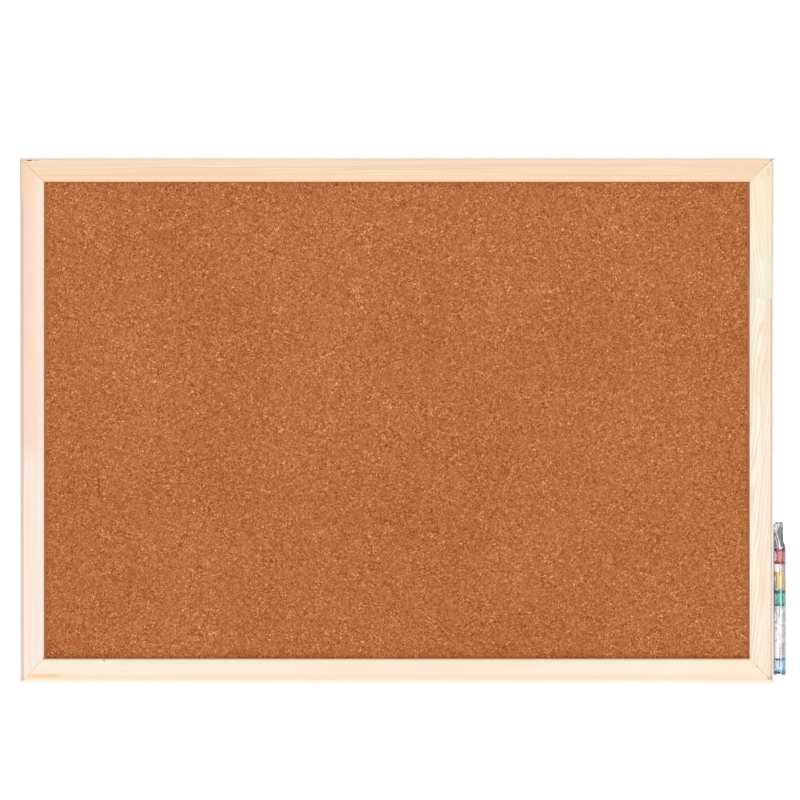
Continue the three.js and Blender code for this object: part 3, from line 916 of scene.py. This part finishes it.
def strap_solid(x, columns=10):
    line = strap_line()
    rows = []
    for i, (up, back) in enumerate(line):
        along = direction(line, i)
        out = Vector((-along.y, along.x)) * STRAP_THICKNESS / 2
        below = max(0.0, -SCREW_DROP - up)
        half = max(0.3, math.sqrt(max(0.0, STRAP_HALF ** 2 - below ** 2)))
        spread = [half * (2 * c / columns - 1) for c in range(columns + 1)]
        row = [(x + s, back + out.y, RING_AXIS[1] + (up + out.x)) for s in spread]
        row += [(x + s, back - out.y, RING_AXIS[1] + (up - out.x)) for s in reversed(spread)]
        rows.append([Vector(point) * MM for point in row])
    return skin(rows)


# %% Modifiers read back
PUNCH_RADIUS = 1.7
STRAP_BEVEL = 0.09 * MM
BACKWARD = Matrix.Rotation(-math.pi / 2, 4, "X")


def baked(bm, tool, bevel=0.0):
    """The bmesh with the tool cut out of it and its edges bevelled by Blender's modifiers."""
    for solid in (bm, tool):
        bmesh.ops.recalc_face_normals(solid, faces=solid.faces)
    work, cutter = new_object("work", bm), new_object("tool", tool)
    cut = work.modifiers.new("cut", "BOOLEAN")
    cut.object, cut.operation, cut.solver = cutter, "DIFFERENCE", "EXACT"
    if bevel:
        edge = work.modifiers.new("edge", "BEVEL")
        edge.width, edge.segments, edge.limit_method = bevel, 2, "ANGLE"
        edge.angle_limit = math.radians(40)
    bpy.context.view_layer.update()
    result = bmesh.new()
    result.from_mesh(work.evaluated_get(bpy.context.evaluated_depsgraph_get()).to_mesh())
    for used in (work, cutter):
        bpy.data.objects.remove(used)
    bmesh.ops.dissolve_degenerate(result, edges=result.edges, dist=1e-7)
    return result


def screw_place(x, back):
    """The screw's axis, from a point this far back of the frame's wall side, in mm."""
    return Matrix.Translation(Vector((x, back, RING_AXIS[1] - SCREW_DROP)) * MM) @ BACKWARD


for side, x in SIDES.items():
    punch = turned([(PUNCH_RADIUS, -1), (PUNCH_RADIUS, 3)], 40, screw_place(x, 0))
    strap = baked(strap_solid(x), punch, STRAP_BEVEL)
    add_piece(f"strap_{side}", strap, plated, "board", [f"hanger_strap_{side}"])

# %% [markdown]
# The screw has a pan head with a cross recess and a real helical thread: at each height and
# angle the radius is the core's, plus a ridge where the helix passes. The recess is a
# tapered cross that a Boolean takes out of the head.

# %% The screws
SCREW_HEAD = [(2.75, 0), (2.75, 0.75), (2.0, 1.6), (0.02, 1.6)]
SCREW_PITCH = 1.2
SCREW_CORE, SCREW_CREST = 1.08, 1.5
THREAD_END, THREAD_HALF_SHARE = -1.2, 0.22
SCREW_LENGTH, SCREW_POINT = 10, 3
SCREW_SEAT = 1.9
CROSS_FOOT, CROSS_TOP = (0.9, 0.2, 0.7), (1.75, 0.34, 1.9)


def screw_solid(place, sides=36, rings_per_turn=9):
    steps = int(SCREW_LENGTH / SCREW_PITCH * rings_per_turn)
    rows = []
    for i in range(steps + 1):
        height = -SCREW_LENGTH + SCREW_LENGTH * i / steps
        taper = min(1.0, (height + SCREW_LENGTH + 0.05) / SCREW_POINT)
        radii = []
        for k in range(sides):
            off = abs((height / SCREW_PITCH - k / sides) % 1 - 0.5)
            ridge = max(0.0, 1 - off / THREAD_HALF_SHARE) if height < THREAD_END else 0.0
            radii.append(taper * (SCREW_CORE + (SCREW_CREST - SCREW_CORE) * ridge))
        rows.append(circle(radii, height, place))
    head = [SCREW_HEAD[0], *rounded(SCREW_HEAD)[1:]]
    return skin(rows + [circle([radius] * sides, height, place) for radius, height in head])


def cross_cutter(place):
    """A tapered cross, from one outline to another. Each has an arm's reach, half width, height."""
    rows = []
    for reach, half, height in (CROSS_FOOT, CROSS_TOP):
        arm = [(reach, -half), (reach, half), (half, half)]
        points = []
        for c, s in ((1, 0), (0, 1), (-1, 0), (0, -1)):
            points += [(c * a - s * b, s * a + c * b, height) for a, b in arm]
        rows.append([place @ (Vector(p) * MM) for p in points])
    return skin(rows)


for side, x in SIDES.items():
    seat = screw_place(x, SCREW_SEAT)
    screw = baked(screw_solid(seat), cross_cutter(seat))
    add_piece(f"screw_{side}", screw, plated, "board", [f"hanger_screw_{side}"])
print("hangers made on", sorted(SIDES))

# %% [markdown]
# ## Push pins
#
# Each pin is a moulded grip on a steel needle: a wide head to press, a waist for two
# fingers, and a collar that stops on the board. The grip is turned from a profile whose
# corners are rounded off, and two fine ridges run down it where the halves of the mould
# met. The plastic is moulded round the needle, with no air between them, so that in the
# clear plastics the needle shows through as a dark line, wider than it is. In the blue one
# the dark of that line is painted shade on the needle.

# %% The pins' shapes
PIN_X = 305.55
GRIP_OUTER = [
    (0.45, 0), (2.6, 0), (3.3, 0.02), (4.1, 0.5), (4.1, 1.5), (3.5, 2.1), (2.8, 2.75), (2.4, 4.2),
    (2.4, 7.7), (2.85, 9.4), (3.8, 10.4), (4.3, 11.0), (4.3, 12.3), (3.95, 12.8), (1.4, 12.8),
    (1.0, 12.6), (0.02, 12.6),
]
GRIP_BORE = [(0.02, 7.8), (0.45, 7.8), (0.45, 7.4)]
NEEDLE = [(0.02, -10), (0.08, -9.9), (0.5, -7.5), (0.5, 7.7), (0.42, 7.88), (0.02, 7.88)]
SEAM_RIDGE = 0.03
SEAM_ABOVE, SEAM_TOP = 2, 12.7


def grip_solid(place, sides=48):
    rows = []
    for radius, height in GRIP_BORE + rounded(GRIP_OUTER):
        lower = radius - SEAM_RIDGE if radius > SEAM_ABOVE and height < SEAM_TOP else radius
        at_seam = [k % (sides // 2) == sides // 4 for k in range(sides)]
        rows.append(circle([radius if seam else lower for seam in at_seam], height, place))
    return skin(rows)


# %% [markdown]
# Red, green, blue and clear are transparent mouldings, so light passes through them and the
# plastic darkens where it is thick, at the rims of the head and the collar. The glassy part
# of the shader knows nothing of thickness, so the rims get a deeper colour by their distance
# from the pin's axis. Yellow and white hold a filler and let only a little light in. Every
# pin also glows faintly in its own colour: painted light that stands for light which gets
# in, bounces about and comes out again. The pins are loose in their sleeve, so each also
# has a place aside of its middle, in mm.
#
# The needles are bright steel where they show. Inside the glassy blue grip the needle only
# mirrors the plastic round it, which is nearly black, so that stretch is painted as shade:
# near-black, dull and not metallic.

# %% The pins' finishes
BLUE_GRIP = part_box("push_pin_grip_blue")
BLUE_SOFTNESS = 0.2 * MM
RIM_FROM, RIM_FULL = 3.2 * MM, 4.1 * MM


def needle_finish():
    material, place = begin("needle_steel")
    z = axes(place)[2]
    rub = grain(stretch(place, (1, 1, 0.1)), 2400, 3)
    # Painted shade: inside the blue grip the needle is near-black, dull and not metallic.
    shade_in_blue = step(z, BLUE_GRIP[1].z + BLUE_SOFTNESS, BLUE_GRIP[1].z - BLUE_SOFTNESS)
    tint = mix(rub, (0.52, 0.52, 0.56, 1), (0.66, 0.66, 0.70, 1))
    sockets = {"Base Color": mix(shade_in_blue, tint, (0.004, 0.008, 0.02, 1)), "Metallic": 1 - shade_in_blue}
    relief = bump(rub, 0.01 * MM, 0.3)
    return set_shader(material, sockets | {"Roughness": 0.26 + 0.5 * shade_in_blue, "Normal": relief})


def grip_finish(name, centre, colour, deep, clear, rough, glow):
    material, place = begin(f"grip_{name}")
    x, y, _ = axes(place)
    reach = hypotenuse(x - centre.x, y - centre.y)
    flow = grain(stretch(place, (1, 1, 0.35)), 900, 3)
    worn = tuple(0.85 * c for c in colour[:3]) + (1,)
    streaked = mix(step(flow, 0.4, 0.7) * 0.3, colour, worn)
    tinted = mix(step(reach, RIM_FROM, RIM_FULL), streaked, deep)
    sockets = {"Base Color": tinted, "Roughness": rough + 0.05 * flow, "IOR": 1.49}
    # Painted light: the emission is a faint glow of the pin's own colour.
    sockets |= {"Emission Color": tinted, "Emission Strength": glow}
    return set_shader(material, sockets | {"Transmission Weight": clear})


PINS = {
    "red": (-0.55, (1.0, 0.29, 0.37, 1), (0.28, 0.008, 0.04, 1), 0.35, 0.04, 0.04),
    "yellow": (-0.3, (1.0, 0.88, 0.45, 1), (1.0, 0.84, 0.36, 1), 0.1, 0.2, 0.17),
    "green": (-0.4, (0.14, 0.72, 0.61, 1), (0.01, 0.17, 0.14, 1), 0.35, 0.04, 0.08),
    "white": (0.0, (0.97, 0.97, 1.0, 1), (0.95, 0.95, 1.0, 1), 0.1, 0.4, 0.25),
    "clear": (0.2, (0.95, 0.94, 1.0, 1), (0.90, 0.88, 0.98, 1), 0.7, 0.35, 0.19),
    "blue": (0.5, (0.64, 0.86, 1.0, 1), (0.005, 0.025, 0.09, 1), 0.94, 0.0, 0.24),
}
bright = needle_finish()
for name, (aside, *finish) in PINS.items():
    low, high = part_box(f"push_pin_grip_{name}")
    needle_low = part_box(f"push_pin_needle_{name}")[0]
    centre = Vector(((PIN_X + aside) * MM, (low.y + high.y) / 2, low.z))
    pose = Matrix.Translation(centre)
    if needle_low.z > low.z:
        centre.z = high.z
        pose = Matrix.Translation(centre) @ Matrix.Rotation(math.pi, 4, "X")
    grip, plastic = grip_solid(pose), grip_finish(name, centre, *finish)
    add_piece(f"grip_{name}", grip, plastic, "pin_pack", [f"push_pin_grip_{name}"])
    needle, stands_for = turned(NEEDLE, 20, pose), [f"push_pin_needle_{name}"]
    add_piece(f"needle_{name}", needle, bright, "pin_pack", stands_for)
print("pins:", ", ".join(PINS))

# %% [markdown]
# ## Sleeve
#
# The pins come in a tube of thin clear film, welded at the foot and drawn together at the
# top. Film like this is never smooth: it buckles between the pins, and the gathered end is
# a crush of sharp folds. It doesn't stretch or sag at this size but folds along straight
# creases, so no cloth simulation is needed, and the folds are written into the radius of
# each point: pleats that deepen towards the mouth, and a ridged noise that has the sharp
# crests of a crease. The upper part leans a little towards the board.

# %% The sleeve's shape
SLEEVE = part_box("pin_sleeve")
SLEEVE_X, SLEEVE_Y = PIN_X * MM, -7.5 * MM
HALF_WIDTH, HALF_DEPTH = 5.35 * MM, 7.4 * MM
GATHER_HEIGHT = 20.8 * MM
GATHER_HALF = (3.9 * MM, 2.2 * MM)
SLOW_LEAN, LEAN = 0.35 * MM, 1.3 * MM
SLOW_LEAN_FROM, SLOW_LEAN_TO = -355 * MM, -302 * MM
MOUTH_CUT = 2.2 * MM
FOOT_HEIGHT, FOOT_TUCK = 1.2 * MM, 0.35 * MM
FILM = 0.1 * MM
SQUARENESS = 2.6
PLEATS, PLEAT_DEPTH = 9, 0.10
BODY_CREASE, CREASE_DEPTH, FINE_DEPTH = 0.006, 0.09, 0.10
CREASE_PITCH, FINE_PITCH, PLEAT_SWAY = 9 * MM, 3.5 * MM, 5 * MM


def ridged(x, y, z):
    """Noise with sharp crests, from 0 to 1."""
    return 1 - min(1.0, abs(noise.noise(Vector((x, y, z)))) * 2.4)


def eased(t):
    return t * t * (3 - 2 * t)


def sleeve_point(angle, height, inset):
    rise = min(1.0, max(0.0, 1 + (height - SLEEVE[1].z) / GATHER_HEIGHT))
    drawn = eased(rise)
    climb = (height - SLOW_LEAN_FROM) / (SLOW_LEAN_TO - SLOW_LEAN_FROM)
    lean = SLOW_LEAN * eased(min(1.0, max(0.0, climb)))
    lean += (LEAN - SLOW_LEAN) * eased(min(1.0, 3 * rise))
    foot = max(0.0, 1 - (height - SLEEVE[0].z) / FOOT_HEIGHT)
    tuck = FOOT_TUCK * foot ** 2
    narrowing = max(lean, (HALF_WIDTH - GATHER_HALF[0]) * drawn)
    half_width = HALF_WIDTH - narrowing - inset - tuck
    half_depth = HALF_DEPTH + (GATHER_HALF[1] - HALF_DEPTH) * drawn - inset - tuck
    c, s = math.cos(angle), math.sin(angle)
    power = 2 / SQUARENESS
    pleats = 0.5 - 0.5 * math.cos(PLEATS * angle + 2.5 * math.sin(height / PLEAT_SWAY))
    crease = ridged(2.2 * c + 3.1, 2.2 * s, height / CREASE_PITCH)
    fine = ridged(6 * c, 6 * s + 5.7, height / FINE_PITCH)
    dent = PLEAT_DEPTH * drawn * pleats + FINE_DEPTH * drawn * fine
    shrink = 1 - dent - (BODY_CREASE + CREASE_DEPTH * drawn) * crease
    cut = MOUTH_CUT * rise ** 6 * max(0.0, -c) ** 2
    return Vector((
        SLEEVE_X - lean + shrink * half_width * math.copysign(abs(c) ** power, c),
        SLEEVE_Y + shrink * half_depth * math.copysign(abs(s) ** power, s),
        height - cut,
    ))


def sleeve_rows(inset, sides=120, rings_up=150):
    foot, mouth = SLEEVE[0].z + inset, SLEEVE[1].z
    rows = []
    for i in range(rings_up + 1):
        share = i / rings_up
        height = foot + (mouth - foot) * (share ** 0.8 if share < 1 else 1)
        rows.append([sleeve_point(2 * math.pi * k / sides, height, inset) for k in range(sides)])
    return rows


# %% [markdown]
# Clear film seen in one thickness is almost nothing: a little haze and the mirror image of
# the lights. It builds up where it turns away round the side of the pack, and wherever it is
# folded over and over. So the shader is a thin mirror whose opacity depends on the slant it
# is seen at, and on the place: low on the four flat sides, higher at the corners, and nearly
# solid in the crushed end. Layer Weight gives the slant, as for any clear plastic. The grey
# of the corners and of grazing film is a painted reflection of the dim room. The crushed end
# is dark grey, partly from its many layers and partly painted shade, with painted white
# glints along its creases and on a patch. A painted highlight runs down the front as a pale
# streak. The corners also carry painted reflections of what is beside them: the wood on the
# left, and at the height of each coloured pin the pin.

# %% The sleeve's finish
# Painted glints: white lines along the creases of the crushed end, and a white patch.
GLINT_CREASES = [
    ((302.5, -282.5), (302.0, -287.5), 0.9), ((302.0, -287.5), (304.0, -295.0), 0.55),
    ((302.0, -291.5), (300.2, -295.5), 0.5), ((304.0, -295.0), (304.8, -301.0), 0.8),
    ((301.5, -292.5), (303.2, -300.0), 0.45),
]
GLINT_PATCH = ((302.1, -286.6), (2.3, 3.2))
CRUSH_FROM, CRUSH_FULL = -303.5 * MM, -300.0 * MM
NEAR_CORNER = (-2.6 * MM, -3.2 * MM)
FAR_CORNER, FAR_EDGE = (0, 0.7 * MM), (5.2 * MM, 4.2 * MM)
LEFT_SIDE = (0, -3.5 * MM)
# A painted highlight: a pale streak down the sleeve's front.
HIGHLIGHT_OFF = -0.1 * MM
HIGHLIGHT_HALF = (0.9 * MM, 0.3 * MM)
HIGHLIGHT_FADE = (-318 * MM, -335 * MM)
LEVEL_SOFTNESS = 0.6 * MM
# Painted reflections of the pins, in the sleeve's corners at each pin's height.
MIRRORED = {
    "red": (0.38, 0.03, 0.04, 1), "yellow": (0.42, 0.25, 0.05, 1), "green": (0.02, 0.28, 0.22, 1),
    "blue": (0.08, 0.24, 0.44, 1),
}


def crease_line(place, start, stop, width):
    """1 along a straight fold between two (x, z) points in mm, 0 away from it."""
    x, _, z = axes(place)
    run = Vector((stop[0] - start[0], stop[1] - start[1])) * MM
    off_x, off_z = x - start[0] * MM, z - start[1] * MM
    along = (off_x * run.x + off_z * run.y) / run.length_squared
    held = along.math("MAXIMUM", 0.0).math("MINIMUM", 1.0)
    gap = hypotenuse(off_x - held * run.x, off_z - held * run.y)
    ragged = gap + 0.5 * MM * (grain(place, 1500, 2) - 0.5)
    return step(ragged, width * MM, 0.3 * width * MM)


def film_finish():
    material, place = begin("film")
    x, y, z = axes(place)
    off = x - SLEEVE_X
    near, left = step(off, *NEAR_CORNER), step(off, *LEFT_SIDE)
    far = step(off, *FAR_CORNER) * step(off, *FAR_EDGE)
    corner = near + far
    slant = place.node("ShaderNodeLayerWeight", None, {"Blend": 0.5}, "Facing")
    # Painted highlight streak down the front of the film.
    highlight_streak = step((off - HIGHLIGHT_OFF).math("ABSOLUTE"), *HIGHLIGHT_HALF)
    highlight_streak = highlight_streak * step(y, SLEEVE_Y, SLEEVE_Y - 2 * MM) * (0.35 + 0.65 * step(z, *HIGHLIGHT_FADE))
    crushed = step(z, CRUSH_FROM, CRUSH_FULL)
    wrinkle = grain(stretch(place, (1, 1, 0.4)), 520, 4, 0.7)
    glint_patch = mark(place, *GLINT_PATCH) * (0.35 + 0.65 * step(wrinkle, 0.42, 0.54))
    # Painted glints on the crushed end: white along creases and on a patch.
    crease_glints = largest(*[crease_line(place, *crease) for crease in GLINT_CREASES])
    white = largest(0.85 * crease_glints, 0.8 * glint_patch) * crushed
    # Painted reflections: the dim grey of the room, the wood on the left, each coloured pin.
    mirror = mix(left, (0.19, 0.14, 0.20, 1), (0.30, 0.16, 0.11, 1))
    levels = {}
    for name, colour in MIRRORED.items():
        foot, head = [end.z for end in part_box(f"push_pin_grip_{name}")]
        above = step(z, foot - LEVEL_SOFTNESS, foot + LEVEL_SOFTNESS)
        levels[name] = above * step(z, head + LEVEL_SOFTNESS, head - LEVEL_SOFTNESS)
        mirror = mix(levels[name] * (0.55 + 0.45 * far), mirror, colour)
    body = mix(largest(corner, slant), (0.90, 0.89, 0.94, 1), mirror)
    body = mix(highlight_streak, body, (0.93, 1.0, 1.0, 1))
    fold = step(wrinkle, 0.35, 0.7)
    # Crushed end: dark grey partly from its layers, partly painted shade; the brown on the left is a painted
    # reflection of the wood.
    grey = mix(fold, (0.16, 0.155, 0.18, 1), (0.36, 0.34, 0.38, 1))
    brown = mix(fold, (0.22, 0.16, 0.15, 1), (0.42, 0.34, 0.33, 1))
    colour = mix(white, mix(crushed, body, mix(left, grey, brown)), (1, 1, 1, 1))
    clear = 0.012 + 0.02 * step(wrinkle, 0.5, 0.75) + 0.25 * near + 0.28 * far
    clear = clear + 0.07 * sum(levels.values()) * corner + 0.12 * slant * slant + 0.24 * highlight_streak
    alpha = clear + crushed * (0.46 - clear) + 0.45 * white
    sockets = {"Base Color": colour, "Alpha": alpha, "Metallic": 0.8 * (1 - white) * (1 - highlight_streak)}
    relief = bump(wrinkle, 0.03 * MM, 0.3)
    return set_shader(material, sockets | {"Roughness": 0.10 + 0.3 * white, "Normal": relief})


sleeve = skin(sleeve_rows(0.0) + sleeve_rows(FILM)[::-1])
add_piece("sleeve", sleeve, film_finish(), "pin_pack", ["pin_sleeve"])
print("sleeve", [round(v * 1000, 1) for v in SLEEVE[1] - SLEEVE[0]], "mm")

# %% [markdown]
# ## Tape
#
# One strip of clear tape behind the edge holds the sleeve to the stile, and it is the hinge
# that the sleeve peels back on. The frame holds it as two plates. Here it is one thin strip
# whose columns of points are close together at the fold. Its short ends are cut on a
# toothed blade, so they are zigzags.

# %% The tape
TAPE_LEFT, TAPE_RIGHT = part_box("tape_on_stile"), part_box("tape_on_sleeve")
TAPE_TEETH = 13
TAPE_TOOTH = 0.7 * MM
TAPE_THICKNESS, TAPE_WAVE = 0.08 * MM, 0.03 * MM
FOLD_X, FOLD_HALF = 300 * MM, 1.2 * MM
SIDE_COLUMNS, FOLD_COLUMNS = 10, 24
WAVE_NOISE = 260


def evenly(start, stop, steps):
    """Evenly spaced places from start up to stop, which is left out."""
    return [start + (stop - start) * i / steps for i in range(steps)]


def tape_solid():
    """A thin strip across the fold: rings of points round its section, from end to end."""
    low, high = TAPE_LEFT[0], TAPE_RIGHT[1]
    before, after = FOLD_X - FOLD_HALF, FOLD_X + FOLD_HALF
    places = evenly(low.x, before, SIDE_COLUMNS) + evenly(before, after, FOLD_COLUMNS)
    places += evenly(after, high.x, SIDE_COLUMNS) + [high.x]
    rows = []
    for i, x in enumerate(places):
        tooth = {0: TAPE_TOOTH, len(places) - 1: -TAPE_TOOTH}.get(i, 0.0)
        front, back = [], []
        for k in range(TAPE_TEETH * 2 + 1):
            z = low.z + (high.z - low.z) * k / (TAPE_TEETH * 2)
            at = x + tooth * (k % 2)
            wave = 0.5 + 0.5 * noise.noise(Vector((at, 0, z)) * WAVE_NOISE)
            front.append(Vector((at, low.y + TAPE_WAVE * wave, z)))
            back.append(front[-1] + Vector((0, TAPE_THICKNESS, 0)))
        rows.append(front + back[::-1])
    return rows


def strip(rows):
    """A closed skin over rows whose ends are ladders between their two halves."""
    bm = skin(rows, capped=False)
    bm.verts.ensure_lookup_table()
    count = len(rows[0])
    for start in (0, (len(rows) - 1) * count):
        for k in range(count // 2 - 1):
            corners = [start + k, start + k + 1, start + count - 2 - k, start + count - 1 - k]
            bm.faces.new([bm.verts[c] for c in corners])
    return bm


def tape_finish():
    material, place = begin("tape")
    bubbles = step(cells(place, 420), 0.28, 0.12) * step(grain(place, 60, 2), 0.5, 0.62)
    haze = grain(stretch(place, (0.3, 1, 1)), 500, 3)
    alpha = 0.26 + 0.16 * step(haze, 0.4, 0.7) + 0.3 * bubbles
    sockets = {"Base Color": mix(haze, (0.80, 0.79, 0.72, 1), (0.93, 0.92, 0.88, 1)), "Alpha": alpha}
    return set_shader(material, sockets | {"Roughness": 0.12 + 0.15 * haze})


tape = add_piece("tape", strip(tape_solid()), tape_finish(), None,
                 ["tape_on_stile", "tape_on_sleeve"])
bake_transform(tape)

# %% [markdown]
# ## Last look
#
# The dressed part has to stay inside the box of the imported one, because others will place
# it by that box.

# %% Print both boxes and finish
visual_box = [list(corner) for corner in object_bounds()]
for name, box in (("packed", cad_box), ("dressed", visual_box)):
    print(name, [[round(v * 1000, 2) for v in corner] for corner in box])
